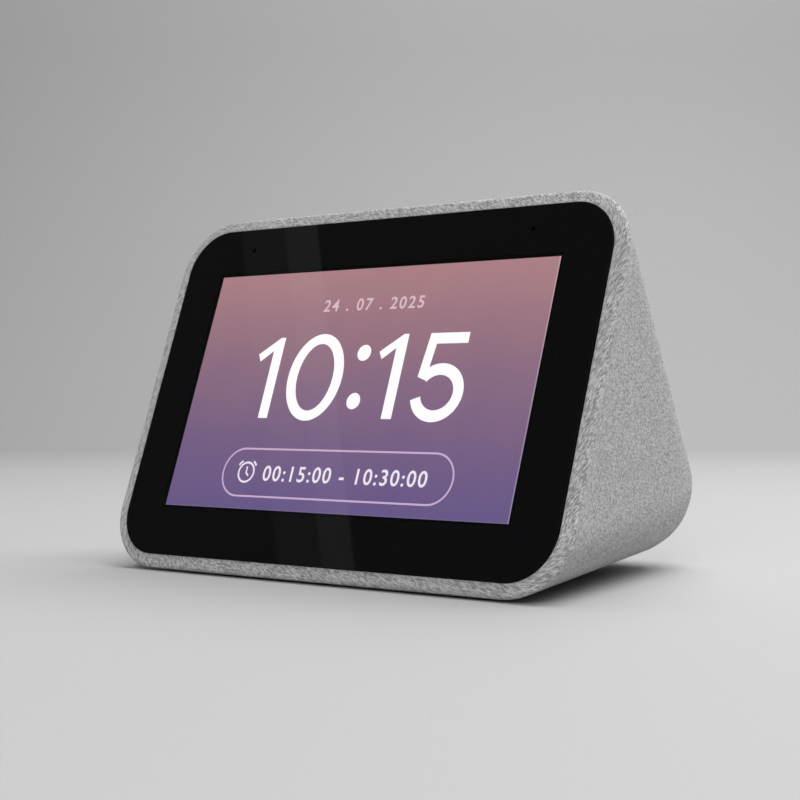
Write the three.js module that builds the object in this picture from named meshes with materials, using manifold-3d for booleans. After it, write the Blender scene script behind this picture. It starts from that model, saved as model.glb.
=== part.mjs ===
// Bedside smart home hub: a 4-inch touch display in a knitted, wedge-shaped body.
// Millimetres, +Z up, the display faces -Y. The origin is the middle of the footprint, on the table.
import * as THREE from 'three';
import { ConvexGeometry } from 'three/addons/geometries/ConvexGeometry.js';
import { mergeVertices } from 'three/addons/utils/BufferGeometryUtils.js';
import Module from 'manifold-3d';

const wasm = await Module();
wasm.setup();

// ---- Driving dimensions. Body coordinates start at the middle of the lit display. ----
const FACE_LEAN = 19.82;                  // the face leans back from the vertical, degrees
const ORIGIN = { y: -26.88, z: 37.65 };   // the display's middle, from the origin on the table
const GAP = 0.35;                         // clearance round pieces that sit in a cut-out
const RIM = { width: 113.48, height: 78.45, corner: 12.8, edge: 0.9, centre: 0.135, front: -0.07 };
const GLASS = { width: 107.7, height: 73.0, corner: 9.55, centre: 0.1, top: 0.33, bottom: -0.77 };
const DISPLAY = { width: 91.4, height: 56.6, centre: -0.6 };
const MIC = { x: 35.8, y: 31.6, hole: 0.45 };
// Balls that the body's back is drawn over, one pair each: half spacing, place and radius.
const CROWN = { x: 18, y: 36, z: 20, r: 19.6 };
const WAIST = { x: 18, y: 35.5, z: 4, r: 25 };
const HEEL = { x: 30.56, y: 51.7, z: -19.96, r: 15 };
const FABRIC = 0.9;                       // knit and its backing
const SHELL = { outside: 1.2, inside: 3.2 };   // depths under the fabric's surface
const BACK_LEAN = 21.19;                  // the speaker points back and up by this, degrees
const SPEAKER = { y: 50.2, z: 5.7 };      // middle of the driver's front rim
const BOX = { width: 60, height: 42, depth: 22, wall: 1.8, corner: 6 };
const PASSIVE = { length: 26, height: 12, z: -11 };
const KEY_LEAN = 20;                      // the keys point up and back by this, degrees
const KEY = { spacing: 12.5, arm: 7.6, bar: 2.5, proud: 0.45 };
const PORTS = { width: 52, height: 13.6, recess: 2.6, back: -5.5 };
const MUTE = { x: -16, slot: 8.6, travel: 2.5 };
const USB = { x: 0, width: 13.4, height: 5.9 };
const POWER = { x: 15.5, r: 3.5 };
const BASE = { front: 17.5, back: 52.5, wide: 35, narrow: 28, corner: 9, bottom: -36.6, top: -34.6 };
const FLOOR = { bottom: -34.3, top: -32.3 };
const BASE_SCREWS = [[30, 25], [-30, 25], [23, 46], [-23, 46]];
const BOARD_SCREWS = [[42, 20], [-42, 20], [42, -20], [-42, -20]];
const BOARD = { width: 92, height: 50, front: -9.8, back: -11.2 };

const radians = THREE.MathUtils.degToRad;

// ---- Outlines, solids and materials ----
function material(color, roughness, metalness = 0) {
  return new THREE.MeshStandardMaterial({ color, roughness, metalness });
}

const FINISH = {
  knit: material(0xa4a6a9, 0.95),
  glass: material(0x101114, 0.08),
  screen: material(0x8d6d83, 0.4),
  greyPlastic: material(0x7d7f83, 0.6),
  blackPlastic: material(0x1b1c1e, 0.6),
  whitePlastic: material(0xd9dadc, 0.5),
  rubber: material(0x54565a, 0.9),
  foam: material(0x222326, 0.95),
  steel: material(0xb9bcc0, 0.35, 1),
  aluminium: material(0xc8cacc, 0.4, 1),
  board: material(0x1d4d33, 0.55),
  chip: material(0x17181a, 0.5),
  flex: material(0xb0762a, 0.5),
  copper: material(0xb06a3c, 0.35, 1),
  paper: material(0x2b2b2d, 0.85),
};

function roundedRectangle(width, height, corner, x = 0, y = 0) {
  const w = width / 2;
  const h = height / 2;
  const shape = new THREE.Shape();
  shape.moveTo(x - w + corner, y - h);
  shape.lineTo(x + w - corner, y - h);
  shape.absarc(x + w - corner, y - h + corner, corner, -Math.PI / 2, 0);
  shape.lineTo(x + w, y + h - corner);
  shape.absarc(x + w - corner, y + h - corner, corner, 0, Math.PI / 2);
  shape.lineTo(x - w + corner, y + h);
  shape.absarc(x - w + corner, y + h - corner, corner, Math.PI / 2, Math.PI);
  shape.lineTo(x - w, y - h + corner);
  shape.absarc(x - w + corner, y - h + corner, corner, Math.PI, 1.5 * Math.PI);
  return shape;
}

// A pill is a rectangle whose ends are half circles; the ends stop just short of meeting.
function pill(width, height, x = 0, y = 0) {
  return roundedRectangle(width, height, Math.min(width, height) / 2 - 0.01, x, y);
}

function circle(radius, x = 0, y = 0) {
  return new THREE.Shape().absarc(x, y, radius, 0, 2 * Math.PI);
}

function prism(shape, low, high, curveSegments = 6) {
  const geometry = new THREE.ExtrudeGeometry(shape, { depth: high - low, bevelEnabled: false, curveSegments });
  return geometry.translate(0, 0, low);
}

function block(width, height, low, high, x = 0, y = 0) {
  return new THREE.BoxGeometry(width, height, high - low).translate(x, y, (low + high) / 2);
}

// A round piece about the local z axis, from a closed list of [radius, height] points.
function turned(points, segments = 20) {
  const profile = points.map(([r, z]) => new THREE.Vector2(r, z));
  return new THREE.LatheGeometry(profile, segments).rotateX(Math.PI / 2);
}

function solid(geometry, matrix = null) {
  const copy = geometry.clone();
  if (matrix) copy.applyMatrix4(matrix);
  copy.deleteAttribute('normal');
  copy.deleteAttribute('uv');
  const merged = mergeVertices(copy, 1e-4);
  const mesh = new wasm.Mesh({
    numProp: 3,
    vertProperties: new Float32Array(merged.attributes.position.array),
    triVerts: new Uint32Array(merged.index.array),
  });
  return new wasm.Manifold(mesh);
}

function geometryOf(manifold) {
  const mesh = manifold.getMesh();
  const geometry = new THREE.BufferGeometry();
  geometry.setAttribute('position', new THREE.BufferAttribute(mesh.vertProperties, 3));
  geometry.setIndex(new THREE.BufferAttribute(mesh.triVerts, 1));
  geometry.computeVertexNormals();
  return geometry;
}

function joined(geometries) {
  return geometries.map((geometry) => solid(geometry)).reduce((sum, next) => sum.add(next));
}

function cut(geometry, cutters) {
  const rest = cutters.reduce((left, cutter) => left.subtract(solid(cutter)), solid(geometry));
  return geometryOf(rest);
}

// ---- Groups: each has its own local frame inside the body ----
function frameAt(y, z, turn) {
  const group = new THREE.Group();
  group.position.set(0, y, z);
  group.rotation.x = radians(turn);
  group.updateMatrix();
  return group;
}

const hub = new THREE.Group();
const body = frameAt(ORIGIN.y, ORIGIN.z, 0);
const face = frameAt(0, 0, 90 - FACE_LEAN);              // local z points out of the glass
const speaker = frameAt(SPEAKER.y, SPEAKER.z, BACK_LEAN - 90);   // local z points back and up
const keys = frameAt(
  CROWN.y + CROWN.r * Math.sin(radians(KEY_LEAN)),
  CROWN.z + CROWN.r * Math.cos(radians(KEY_LEAN)),
  -KEY_LEAN,
);
const rear = frameAt(HEEL.y + HEEL.r, HEEL.z, -90);      // local z points straight back, y down
hub.add(body);
body.add(face, speaker, keys, rear);

function add(group, name, geometry, finish) {
  const mesh = new THREE.Mesh(geometry, finish.clone());
  mesh.name = name;
  group.add(mesh);
  return mesh;
}

// ---- The body's outer form: a skin drawn over the front rim and three pairs of balls ----
function rimPoints(inset) {
  const edge = Math.max(RIM.edge - inset, 0);
  const extra = Math.max(inset - RIM.edge, 0);
  const reach = RIM.edge + extra;
  const outline = roundedRectangle(
    RIM.width - 2 * reach, RIM.height - 2 * reach, RIM.corner - reach, 0, RIM.centre,
  );
  const points = [];
  const ring = outline.getPoints(7);
  ring.forEach((point, i) => {
    const before = ring[(i + ring.length - 1) % ring.length];
    const after = ring[(i + 1) % ring.length];
    const along = new THREE.Vector2().subVectors(after, before).normalize();
    for (const angle of [0, 35, 70, 105]) {
      const out = edge * Math.sin(radians(angle));
      const up = edge * Math.cos(radians(angle));
      points.push(new THREE.Vector3(
        point.x + along.y * out, point.y - along.x * out, RIM.front - reach + up,
      ));
    }
  });
  return points.map((point) => point.applyMatrix4(face.matrix));
}

function ballPoints({ x, y, z, r }, inset) {
  const ball = new THREE.SphereGeometry(r - inset, 20, 10).attributes.position;
  const points = [];
  for (const side of [-1, 1]) {
    for (let i = 0; i < ball.count; i += 1) {
      points.push(new THREE.Vector3(side * x + ball.getX(i), y + ball.getY(i), z + ball.getZ(i)));
    }
  }
  return points;
}

function bodyForm(inset) {
  const balls = [CROWN, WAIST, HEEL].flatMap((pair) => ballPoints(pair, inset));
  return solid(new ConvexGeometry([...rimPoints(inset), ...balls]));
}

function baseOutline(grow) {
  const { front, back, wide, narrow, corner } = BASE;
  const corners = [
    [wide - corner, front + corner], [narrow - corner, back - corner],
    [corner - narrow, back - corner], [corner - wide, front + corner],
  ];
  const points = corners.flatMap(([x, y]) => circle(corner + grow, x, y).getPoints(14));
  return new ConvexGeometry(points.flatMap((point) => [
    new THREE.Vector3(point.x, point.y, 0), new THREE.Vector3(point.x, point.y, 1),
  ]));
}

function basePlateau(grow, low, high) {
  return baseOutline(grow).scale(1, 1, high - low).translate(0, 0, low);
}

function keyOutline(arms, grow) {
  const across = prism(roundedRectangle(KEY.arm + 2 * grow, KEY.bar + 2 * grow, 0.6), -6, 3, 3);
  const along = prism(roundedRectangle(KEY.bar + 2 * grow, KEY.arm + 2 * grow, 0.6), -6, 3, 3);
  return arms === 2 ? [across, along] : [across];
}

function keyCutters(grow) {
  const up = keyOutline(2, grow).map((shape) => shape.translate(KEY.spacing, 0, 0));
  const down = keyOutline(1, grow).map((shape) => shape.translate(-KEY.spacing, 0, 0));
  return [...up, ...down].map((shape) => solid(shape, keys.matrix));
}

function openings(grow) {
  const front = prism(
    roundedRectangle(GLASS.width + 2 * GAP, GLASS.height + 2 * GAP, GLASS.corner + GAP, 0, GLASS.centre), -5, 3,
  );
  const ports = prism(pill(PORTS.width + 2 * GAP, PORTS.height + 2 * GAP), -9, 3);
  return [solid(front, face.matrix), solid(ports, rear.matrix), ...keyCutters(grow)];
}

function fabricCover() {
  const base = solid(basePlateau(GAP, -42, -30));
  const skin = bodyForm(0).subtract(bodyForm(FABRIC));
  const cover = [...openings(GAP), base].reduce((left, cutter) => left.subtract(cutter), skin);
  add(body, 'fabric_cover', geometryOf(cover), FINISH.knit);
}

function grilleSlots() {
  const slots = [];
  for (let row = -3; row <= 3; row += 1) {
    const length = 2 * Math.sqrt(17 ** 2 - (row * 4.6) ** 2);
    slots.push(solid(prism(pill(length, 2), 0, 14, 3).translate(0, row * 4.6, 0), speaker.matrix));
  }
  return slots;
}

function bodyShell() {
  const outside = bodyForm(SHELL.outside);
  const wall = outside.subtract(bodyForm(SHELL.inside));
  const floor = solid(cut(basePlateau(3, FLOOR.bottom, FLOOR.top), [basePlateau(-7, -40, -30)]));
  let shell = wall.add(floor.intersect(outside));
  for (const [x, y] of BASE_SCREWS) shell = shell.add(solid(prism(circle(3, x, y), FLOOR.bottom, -27.5, 4)));
  const bores = BASE_SCREWS.map(([x, y]) => solid(prism(circle(1.35, x, y), -40, -27, 3)));
  const base = solid(basePlateau(GAP, -42, FLOOR.bottom));
  const cutters = [...openings(GAP), ...grilleSlots(), ...bores, base];
  shell = cutters.reduce((left, cutter) => left.subtract(cutter), shell);
  add(body, 'body_shell', geometryOf(shell), FINISH.blackPlastic);
}

// ---- Display stack, in the face's frame ----
function coverGlass() {
  const outline = roundedRectangle(GLASS.width, GLASS.height, GLASS.corner, 0, GLASS.centre);
  for (const side of [-1, 1]) outline.holes.push(circle(MIC.hole, side * MIC.x, MIC.y));
  add(face, 'cover_glass', prism(outline, GLASS.bottom, GLASS.top, 8), FINISH.glass);
  const tape = roundedRectangle(106, 71.4, 8.7, 0, GLASS.centre);
  tape.holes.push(roundedRectangle(95, 60, 2, 0, DISPLAY.centre));
  for (const side of [-1, 1]) tape.holes.push(circle(1, side * MIC.x, MIC.y));
  add(face, 'glass_adhesive', prism(tape, -1.4, -1.07, 3), FINISH.foam);
}

function frontFrame() {
  const window = block(DISPLAY.width + 2, DISPLAY.height + 2, -10, 0, 0, DISPLAY.centre);
  const plate = prism(roundedRectangle(107.2, 72.5, 9.3, 0, GLASS.centre), -3.7, -1.7);
  const skirt = prism(roundedRectangle(97, 60.6, 3, 0, DISPLAY.centre), -8.2, -3.5);
  const cutters = [window];
  for (const side of [-1, 1]) cutters.push(prism(circle(0.8, side * MIC.x, MIC.y), -5, 0, 3));
  add(face, 'front_frame', cut(geometryOf(joined([plate, skirt])), cutters), FINISH.blackPlastic);
}

function displayModule() {
  const { width, height, centre } = DISPLAY;
  add(face, 'touch_sensor', block(width + 1, height + 1, -1.37, -1.07, 0, centre), FINISH.glass);
  add(face, 'lcd_panel', block(width, height, -3.0, -1.67, 0, centre), FINISH.screen);
  add(face, 'backlight_unit', block(width, height, -6.0, -3.3, 0, centre), FINISH.whitePlastic);
  const pan = block(width + 1.4, height + 1.4, -6.9, -2.0, 0, centre);
  const posts = BOARD_SCREWS.map(([x, y]) => prism(circle(2.2, x, y), -9.5, -6.8, 4));
  const inside = block(width + 0.7, height + 0.7, -6.3, 0, 0, centre);
  const bores = BOARD_SCREWS.map(([x, y]) => prism(circle(1.25, x, y), -10, -7.1, 3));
  add(face, 'display_tray', cut(geometryOf(joined([pan, ...posts])), [inside, ...bores]), FINISH.steel);
}

// A flat ribbon: a bent strip drawn in one plane as [across, up] points, then given its width.
function ribbon(points, thickness, width) {
  const offset = points.map(([a, b], i) => {
    const [c, d] = points[Math.min(i + 1, points.length - 1)];
    const [e, f] = points[Math.max(i - 1, 0)];
    const length = Math.hypot(c - e, d - f);
    return [a - (thickness * (d - f)) / length, b + (thickness * (c - e)) / length];
  });
  const outline = [...points, ...offset.reverse()].map(([a, b]) => new THREE.Vector2(a, b));
  return prism(new THREE.Shape(outline), -width / 2, width / 2).rotateY(Math.PI / 2).rotateX(Math.PI / 2);
}

function mainBoard() {
  const holes = BOARD_SCREWS.map(([x, y]) => prism(circle(1.3, x, y), -12, -9, 3));
  const sheet = block(BOARD.width, BOARD.height, BOARD.back, BOARD.front);
  add(face, 'main_board', cut(sheet, holes), FINISH.board);
  const can = block(24, 24, -14.1, -11.5, -14, 3);
  add(face, 'processor_shield', cut(can, [block(23.2, 23.2, -13.8, -11, -14, 3)]), FINISH.steel);
  add(face, 'processor_chip', block(12, 12, -12.8, -11.5, -14, 3), FINISH.chip);
  add(face, 'memory_chip', block(9, 11, -12.5, -11.5, 8, 6), FINISH.chip);
  add(face, 'wifi_module', block(13, 15, -13.6, -11.5, 30, 8), FINISH.steel);
  add(face, 'amplifier_chip', block(6, 6, -12.4, -11.5, 10, -12), FINISH.chip);
  add(face, 'heat_spreader', block(46, 30, -15.6, -14.4, -6, 1), FINISH.aluminium);
  BOARD_SCREWS.forEach(([x, y], i) => {
    const screw = turned([[0, -12.6], [2, -12.6], [2, -11.5], [0.9, -11.5], [0.9, -7.6], [0, -7.6]], 12);
    add(face, `board_screw_${i + 1}`, screw.translate(x, y, 0), FINISH.steel);
  });
}

function microphones() {
  for (const [name, side] of [['left', -1], ['right', 1]]) {
    const seal = circle(1.5, side * MIC.x, MIC.y);
    seal.holes.push(circle(0.8, side * MIC.x, MIC.y));
    add(face, `mic_gasket_${name}`, prism(seal, -4.3, -4.0, 4), FINISH.foam);
    add(face, `mic_board_${name}`, block(9, 4.2, -5.6, -4.6, side * MIC.x, 33.1), FINISH.board);
  }
}

function antennas() {
  for (const [name, side] of [['left', -1], ['right', 1]]) {
    const strip = add(body, `antenna_${name}`, new THREE.BoxGeometry(0.4, 22, 8), FINISH.flex);
    strip.position.set(side * 42, 33, 2);
    strip.rotation.z = radians(side * 13);
  }
}

// ---- Speaker: a sealed box with one driver and two passive radiators ----
function speakerBox() {
  const { width, height, depth, wall, corner } = BOX;
  const outside = prism(roundedRectangle(width, height, corner), -depth, -1.9);
  const inside = prism(roundedRectangle(width - 2 * wall, height - 2 * wall, corner - wall), wall - depth, 2);
  const window = prism(pill(PASSIVE.length, PASSIVE.height), -width, width, 5);
  window.rotateY(Math.PI / 2).rotateX(Math.PI / 2).translate(0, 0, PASSIVE.z);
  add(speaker, 'speaker_box', cut(outside, [inside, window]), FINISH.blackPlastic);
  const plate = roundedRectangle(width, height, corner);
  plate.holes.push(circle(18.6));
  add(speaker, 'speaker_baffle', prism(plate, -1.6, 0, 12), FINISH.blackPlastic);
}

function driver() {
  const basket = [
    [16.6, 1.5], [16.6, -0.6], [10.8, -8.0], [6.4, -8.0], [6.4, -9.0], [11.5, -9.0], [17.8, -1.0],
    [18.2, 0.3], [20.3, 0.3], [20.3, 1.5], [16.6, 1.5],
  ];
  const magnet = [
    [0, -17.5], [14, -17.5], [14, -9.3], [6.7, -9.3], [6.7, -15.5], [4.8, -15.5], [4.8, -9.3], [0, -9.3],
  ];
  const surround = [
    [14.3, 1.4], [14.9, 2.1], [15.6, 2.4], [16.4, 2.2], [19.8, 2.2], [19.8, 1.8], [16.3, 1.8],
    [15.6, 2.0], [15.1, 1.7], [14.6, 1.1], [14.3, 1.4],
  ];
  add(speaker, 'speaker_basket', turned(basket), FINISH.steel);
  add(speaker, 'speaker_magnet', turned(magnet), FINISH.steel);
  add(speaker, 'speaker_surround', turned(surround.reverse()), FINISH.rubber);
  const foam = circle(19.8);
  foam.holes.push(circle(16.8));
  add(speaker, 'speaker_gasket', prism(foam, 2.5, 3.2), FINISH.foam);
  const cone = [[5.6, -6.3], [14.0, -0.2], [14.0, 0.4], [5.6, -5.6], [5.6, -6.3]];
  const cap = [[0, -3.6], [2.6, -3.9], [5.0, -4.9], [5.0, -5.3], [2.4, -4.4], [0, -4.1]];
  const coil = [[5.4, -13], [6.1, -13], [6.1, -6.8], [5.4, -6.8], [5.4, -13]];
  add(speaker, 'speaker_cone', turned(cone), FINISH.paper);
  add(speaker, 'dust_cap', turned(cap.reverse()), FINISH.paper);
  add(speaker, 'voice_coil', turned(coil), FINISH.copper);
}

function passiveRadiators() {
  for (const [name, side] of [['left', -1], ['right', 1]]) {
    const ring = pill(PASSIVE.length + 4, PASSIVE.height + 3.4);
    ring.holes.push(pill(PASSIVE.length - 4, PASSIVE.height - 4));
    const plate = pill(PASSIVE.length - 4.8, PASSIVE.height - 4.8);
    const place = (geometry) => geometry.rotateY(Math.PI / 2).rotateX(Math.PI / 2)
      .translate(side * (BOX.width / 2 + 0.9), 0, PASSIVE.z);
    add(speaker, `passive_surround_${name}`, place(prism(ring, -0.5, 0.5, 3)), FINISH.rubber);
    add(speaker, `passive_radiator_${name}`, place(prism(plate, -0.8, 0.8, 3)), FINISH.aluminium);
  }
}

// ---- Volume keys on the crown ----
function volumeKeys() {
  const proud = bodyForm(-KEY.proud);
  for (const [name, arms, side] of [['up', 2, 1], ['down', 1, -1]]) {
    const x = side * KEY.spacing;
    const flange = block(KEY.arm + 1.4, arms === 2 ? KEY.arm + 1.4 : KEY.bar + 1.4, -5.6, -4.7, x);
    const stem = joined(keyOutline(arms, 0).map((shape) => shape.translate(x, 0, 0)));
    const trimmed = solid(geometryOf(stem), keys.matrix).intersect(proud);
    const local = geometryOf(trimmed).applyMatrix4(keys.matrix.clone().invert());
    const upper = solid(block(12, 12, -5.5, 4, x));
    const key = solid(local).intersect(upper).add(solid(flange));
    add(keys, `volume_${name}_key`, geometryOf(key), FINISH.greyPlastic);
    const dome = turned([[0, -7.2], [2, -7.2], [1.7, -6.7], [0, -6.5]], 16);
    add(keys, `dome_switch_${name}`, dome.translate(x, 0, 0), FINISH.steel);
  }
  add(keys, 'key_board', block(38, 9, -8.6, -7.5), FINISH.board);
}

// ---- Port panel low on the back ----
function portPanel() {
  const { width, height, recess, back } = PORTS;
  const boss = solid(prism(pill(width, height), back, 2), rear.matrix).intersect(bodyForm(0));
  const local = geometryOf(boss).applyMatrix4(rear.matrix.clone().invert());
  const cutters = [
    prism(pill(width - 2.6, height - 2.6), -recess, 3),
    prism(pill(MUTE.slot, 3.4, MUTE.x, 0), -8, 0, 4),
    prism(roundedRectangle(USB.width + 2 * GAP, USB.height + 2 * GAP, 0.6, USB.x, 0), -8, 0, 2),
    prism(circle(POWER.r + GAP, POWER.x, 0), -8, 0, 8),
  ];
  add(rear, 'port_panel', cut(local, cutters), FINISH.greyPlastic);
}

function muteSwitch() {
  const x = MUTE.x - MUTE.travel / 2;
  const parts = [
    prism(roundedRectangle(4.4, 2.6, 0.6, x, 0), -6.2, -1.3, 3),
    block(7.4, 4.8, -6.8, -5.95, x),
    block(1.4, 1.4, -8.8, -6.6, x),
  ];
  add(rear, 'mute_knob', geometryOf(joined(parts)), FINISH.whitePlastic);
  const housing = block(9.4, 5.6, -12.6, -7.2, MUTE.x, 0.5);
  add(rear, 'mute_switch', cut(housing, [block(5.4, 2.2, -10, -7, MUTE.x)]), FINISH.steel);
}

function sockets() {
  const { width, height, x } = USB;
  const sleeve = cut(block(width, height, -14, -3, x), [block(width - 0.8, height - 0.8, -13.2, 0, x)]);
  const tongue = block(10.6, 1.6, -13.6, -4, x, -0.6);
  add(rear, 'usb_port', geometryOf(joined([sleeve, tongue])), FINISH.steel);
  const barrel = prism(circle(POWER.r, POWER.x, 0), -8, -3, 8);
  const housing = block(8.6, 7.4, -14, -7, POWER.x);
  const bore = prism(circle(POWER.r - 0.8, POWER.x, 0), -12.5, 0, 8);
  const pin = prism(circle(0.9, POWER.x, 0), -13, -4, 4);
  const jack = joined([barrel, housing]).subtract(solid(bore)).add(solid(pin));
  add(rear, 'dc_jack', geometryOf(jack), FINISH.blackPlastic);
  add(rear, 'io_board', new THREE.BoxGeometry(50, 1.2, 12.6).translate(0, 4.6, -12.7), FINISH.board);
}

// ---- Base ----
function base() {
  const holes = BASE_SCREWS.flatMap(([x, y]) => [
    prism(circle(1.4, x, y), -40, -30, 3), prism(circle(2.8, x, y), -40, -35.4, 4),
  ]);
  add(body, 'base_plate', cut(basePlateau(0, BASE.bottom, BASE.top), holes), FINISH.greyPlastic);
  add(body, 'rubber_foot', basePlateau(-1.6, -ORIGIN.z, -36.9), FINISH.rubber);
  BASE_SCREWS.forEach(([x, y], i) => {
    const screw = turned([[0, -36.5], [2.3, -36.5], [2.3, -35.7], [1, -35.7], [1, -28.6], [0, -28.6]], 12);
    add(body, `base_screw_${i + 1}`, screw.translate(x, y, 0), FINISH.steel);
  });
}

// ---- Internal wiring ----
function lead(name, points, finish) {
  const path = new THREE.CatmullRomCurve3(points.map((p) => new THREE.Vector3(...p)));
  const section = circle(0.9);
  const geometry = new THREE.ExtrudeGeometry(section, { steps: 14, extrudePath: path, curveSegments: 4 });
  add(body, name, geometry, finish);
}

function wiring() {
  lead('speaker_lead', [[24, 5, -23], [24, 14, -26], [24, 26, -28], [24, 35, -26.5], [24, 37.5, -23]], FINISH.rubber);
  lead('io_cable', [[-24, 5, -23], [-24, 14, -26], [-22, 28, -27], [-20, 40, -24.8], [-20, 46.9, -24.5]],
    FINISH.whitePlastic);
  const strip = [[34.4, 32.4], [28, 31.4], [22.8, 26], [21.2, 19.4]];
  add(body, 'key_ribbon', ribbon(strip, 0.3, 6), FINISH.flex);
  const tail = [[-27, -7.6], [-14, -7.6], [-11, -9.3]];
  add(face, 'display_flex', ribbon(tail, 0.25, 18), FINISH.flex);
}

fabricCover();
bodyShell();
coverGlass();
frontFrame();
displayModule();
mainBoard();
microphones();
antennas();
speakerBox();
driver();
passiveRadiators();
volumeKeys();
portPanel();
muteSwitch();
sockets();
base();
wiring();

export default hub;
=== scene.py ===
import math
import bmesh
import bpy
from mathutils import Matrix, Vector
from mathutils.bvhtree import BVHTree


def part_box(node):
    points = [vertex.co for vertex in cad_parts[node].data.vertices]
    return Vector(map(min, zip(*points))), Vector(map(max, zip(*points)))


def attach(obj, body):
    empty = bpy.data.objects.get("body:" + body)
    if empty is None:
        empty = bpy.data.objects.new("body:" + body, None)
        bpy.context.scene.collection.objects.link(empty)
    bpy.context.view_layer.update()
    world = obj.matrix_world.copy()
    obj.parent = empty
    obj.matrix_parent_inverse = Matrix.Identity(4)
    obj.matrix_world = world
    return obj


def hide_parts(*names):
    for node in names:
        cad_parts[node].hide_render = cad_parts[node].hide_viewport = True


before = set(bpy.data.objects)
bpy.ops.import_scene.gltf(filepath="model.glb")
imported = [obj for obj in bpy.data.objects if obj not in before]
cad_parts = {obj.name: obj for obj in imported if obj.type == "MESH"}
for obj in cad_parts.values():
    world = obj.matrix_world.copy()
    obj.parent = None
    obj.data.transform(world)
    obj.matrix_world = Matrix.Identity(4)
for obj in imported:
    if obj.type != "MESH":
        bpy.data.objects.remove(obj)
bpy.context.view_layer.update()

MM = 0.001


# ---------------------------------------------------------------------------------------------
# The view: a camera level with the middle of the display, 38 degrees round to its right, and a
# pale table with a soft studio light over it. Everything else is placed from the cover glass,
# which leans back 19.8 degrees; its local x runs right, y up the glass and z out of it.
# ---------------------------------------------------------------------------------------------
FACE_LEAN = math.radians(19.82)
GLASS_THICK = 1.1 * MM
glass_low, glass_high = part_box("cover_glass")
upward = Matrix.Rotation(math.pi / 2 - FACE_LEAN, 4, "X")
face = Matrix.Translation((glass_low + glass_high) / 2) @ upward
# The middle of the lit picture lies a tenth of a millimetre below the glass's own middle, and the
# display's plane is 0.33 mm under the glass's front.
PICTURE_DROP = 0.1 * MM
PICTURE_UNDER_FRONT = 0.33 * MM
display = face @ Matrix.Translation((0, -PICTURE_DROP, GLASS_THICK / 2 - PICTURE_UNDER_FRONT))
display_middle = display.translation.copy()

CAMERA_OFFSET = Vector((201.2, -242.6, -2.36)) * MM
CAMERA_TURN = math.radians(37.93)
camera_data = bpy.data.cameras.new("studio_camera")
camera_data.sensor_width = 36
camera_data.lens = 72
camera_data.clip_start = 0.01
camera = bpy.data.objects.new("studio_camera", camera_data)
camera.location = display_middle + CAMERA_OFFSET
camera.rotation_euler = (math.pi / 2, 0, CAMERA_TURN)
bpy.context.scene.collection.objects.link(camera)
bpy.context.scene.camera = camera
bpy.context.scene.view_settings.view_transform = "Standard"


def new_material(name, color=(0.5, 0.5, 0.5), roughness=0.5, metallic=0.0):
    material = bpy.data.materials.new(name)
    material.use_nodes = True
    shader = material.node_tree.nodes["Principled BSDF"]
    shader.inputs["Base Color"].default_value = (*color, 1)
    shader.inputs["Roughness"].default_value = roughness
    shader.inputs["Metallic"].default_value = metallic
    return material, shader


def swept_table():
    """A flat top that bends up smoothly into a back wall, square to the camera."""
    front, bend_starts, bend, wall_top, half_width = -1.2, 0.75, 0.35, 1.6, 1.6
    steps = 12
    depth_profile = [(front, 0), (bend_starts, 0)]
    for step in range(1, steps + 1):
        turn = math.pi / 2 * step / steps
        depth_profile.append((bend_starts + bend * math.sin(turn), bend * (1 - math.cos(turn))))
    depth_profile.append((bend_starts + bend, wall_top))
    along = Vector((-math.sin(CAMERA_TURN), math.cos(CAMERA_TURN), 0))
    across = Vector((along.y, -along.x, 0))
    verts = []
    for side in (-half_width, half_width):
        verts += [along * d + across * side + Vector((0, 0, h)) for d, h in depth_profile]
    count = len(depth_profile)
    faces = [(i, i + 1, count + i + 1, count + i) for i in range(count - 1)]
    mesh = bpy.data.meshes.new("table_sweep")
    mesh.from_pydata(verts, [], faces)
    for polygon in mesh.polygons:
        polygon.use_smooth = True
    mesh.materials.append(new_material("pale_table", (0.46, 0.46, 0.46), 0.7)[0])
    sweep = bpy.data.objects.new("table_sweep", mesh)
    bpy.context.scene.collection.objects.link(sweep)


def soft_light(name, place, aim, size, power, height=None):
    light = bpy.data.lights.new(name, "AREA")
    light.shape = "RECTANGLE"
    light.size = size
    light.size_y = height or size
    light.energy = power
    lamp = bpy.data.objects.new(name, light)
    lamp.location = place
    lamp.rotation_euler = (Vector(aim) - Vector(place)).to_track_quat("-Z", "Y").to_euler()
    bpy.context.scene.collection.objects.link(lamp)
    return lamp


# Where the reflection's straight edge crosses the display, top and bottom, in millimetres.
REFLECTION_EDGE = ((-14.6, 24.7), (7.6, -28.0))


def glass_reflector(name, start, width, radiance):
    """A dim strip for the glass to mirror: its straight edge crosses the display on a slant."""
    normal = face.to_3x3() @ Vector((0, 0, 1))
    offset = camera.location - display_middle
    mirrored = display_middle + offset - 2 * offset.dot(normal) * normal
    reach, height = 1.1, 1.3
    centre_ray = (display_middle - mirrored).normalized()
    edge = []
    for x, y in REFLECTION_EDGE:
        ray = display @ Vector((x * MM, y * MM, 0)) - mirrored
        edge.append(mirrored + ray * reach / ray.dot(centre_ray))
    along = (edge[0] - edge[1]).normalized()
    away = centre_ray.cross(along)
    if away.dot(display.to_3x3() @ Vector((1, 0, 0))) > 0:
        away.negate()
    place = (edge[0] + edge[1]) / 2 + away * (start + width / 2)
    strip = soft_light(name, place, display_middle, width, math.pi * width * height * radiance, height)
    turn = Matrix((along.cross(centre_ray), along, centre_ray)).transposed().to_4x4()
    strip.matrix_world = Matrix.Translation(place) @ turn


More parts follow.
